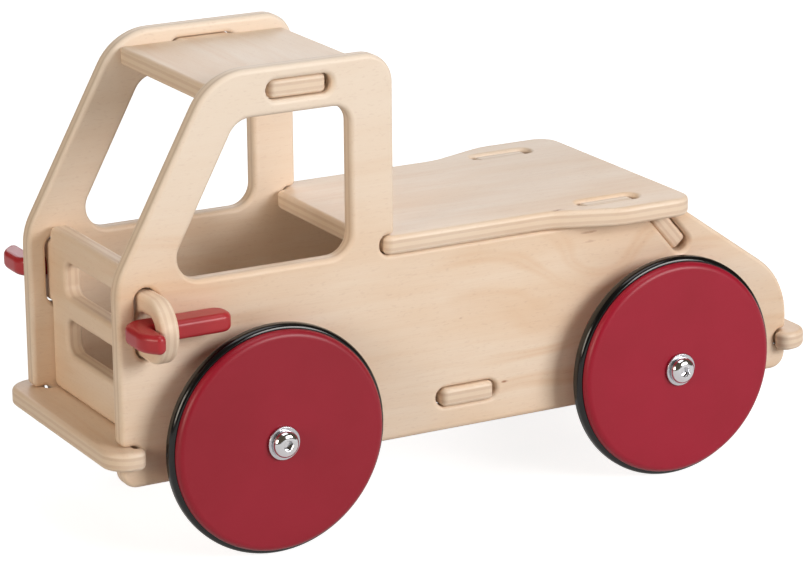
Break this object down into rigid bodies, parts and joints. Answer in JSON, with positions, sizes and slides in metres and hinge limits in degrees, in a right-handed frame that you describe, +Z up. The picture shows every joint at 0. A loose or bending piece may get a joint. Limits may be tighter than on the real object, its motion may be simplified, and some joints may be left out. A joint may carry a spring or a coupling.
{
  "type": "push-along toy truck",
  "caption": "Slot-together plywood push-along truck with an open cab, flat rear seat deck, rubber-tyred red wheels and red locking keys at the nose.",
  "frame": {"origin": "on the ground, midway between the ends of the side panels, which is within 1.2 mm of the middle of the whole length and width", "axes": "+X towards the truck's nose, +Y its left side, +Z up"},
  "size_m": [0.417, 0.1878, 0.2462],
  "materials": {
    "birch_plywood": "clear satin lacquer on birch ply, rounded edges showing the layers",
    "red_key_paint": "red satin paint on plywood",
    "red_wheel_paint": "red satin paint on turned wood",
    "black_rubber": "smooth black rubber with a soft gloss",
    "axle_steel": "bright drawn bar",
    "washer_steel": "zinc-plated washer",
    "bolt_steel": "polished button-head socket bolt",
    "spacer_nylon": "plain nylon"
  },
  "bodies": {
    "truck_body": {"side_panel_left": "birch_plywood", "side_panel_right": "birch_plywood", "roof_panel": "birch_plywood", "grille_panel": "birch_plywood", "front_bumper": "birch_plywood", "rear_bumper": "birch_plywood", "floor_panel": "birch_plywood", "seat_plate": "birch_plywood", "brace_panel": "birch_plywood", "axle_front": "axle_steel", "axle_rear": "axle_steel", "washer_front_left": "washer_steel", "washer_front_right": "washer_steel", "washer_rear_left": "washer_steel", "washer_rear_right": "washer_steel", "bolt_front_left": "bolt_steel", "bolt_front_right": "bolt_steel", "bolt_rear_left": "bolt_steel", "bolt_rear_right": "bolt_steel", "spacer_front_left": "spacer_nylon", "spacer_front_right": "spacer_nylon", "spacer_rear_left": "spacer_nylon", "spacer_rear_right": "spacer_nylon"},
    "wheel_front_left": {"wheel_disc_front_left": "red_wheel_paint", "tyre_front_left": "black_rubber"},
    "wheel_front_right": {"wheel_disc_front_right": "red_wheel_paint", "tyre_front_right": "black_rubber"},
    "wheel_rear_left": {"wheel_disc_rear_left": "red_wheel_paint", "tyre_rear_left": "black_rubber"},
    "wheel_rear_right": {"wheel_disc_rear_right": "red_wheel_paint", "tyre_rear_right": "black_rubber"},
    "locking_key_left": {"key_left": "red_key_paint"},
    "locking_key_right": {"key_right": "red_key_paint"}
  },
  "joints": [
    {"name": "wheel_front_left_spin", "type": "hinge", "parent": "truck_body", "child": "wheel_front_left", "pos_m": [0.1202, 0.07425, 0.06], "axis": [0, 1, 0], "continuous": true},
    {"name": "wheel_front_right_spin", "type": "hinge", "parent": "truck_body", "child": "wheel_front_right", "pos_m": [0.1202, -0.07425, 0.06], "axis": [0, 1, 0], "continuous": true},
    {"name": "wheel_rear_left_spin", "type": "hinge", "parent": "truck_body", "child": "wheel_rear_left", "pos_m": [-0.1144, 0.07425, 0.06], "axis": [0, 1, 0], "continuous": true},
    {"name": "wheel_rear_right_spin", "type": "hinge", "parent": "truck_body", "child": "wheel_rear_right", "pos_m": [-0.1144, -0.07425, 0.06], "axis": [0, 1, 0], "continuous": true},
    {"name": "key_left_slide", "type": "slide", "parent": "truck_body", "child": "locking_key_left", "axis": [1, 0, 0], "range_m": [0, 0.04]},
    {"name": "key_right_slide", "type": "slide", "parent": "truck_body", "child": "locking_key_right", "axis": [1, 0, 0], "range_m": [0, 0.04]}
  ]
}
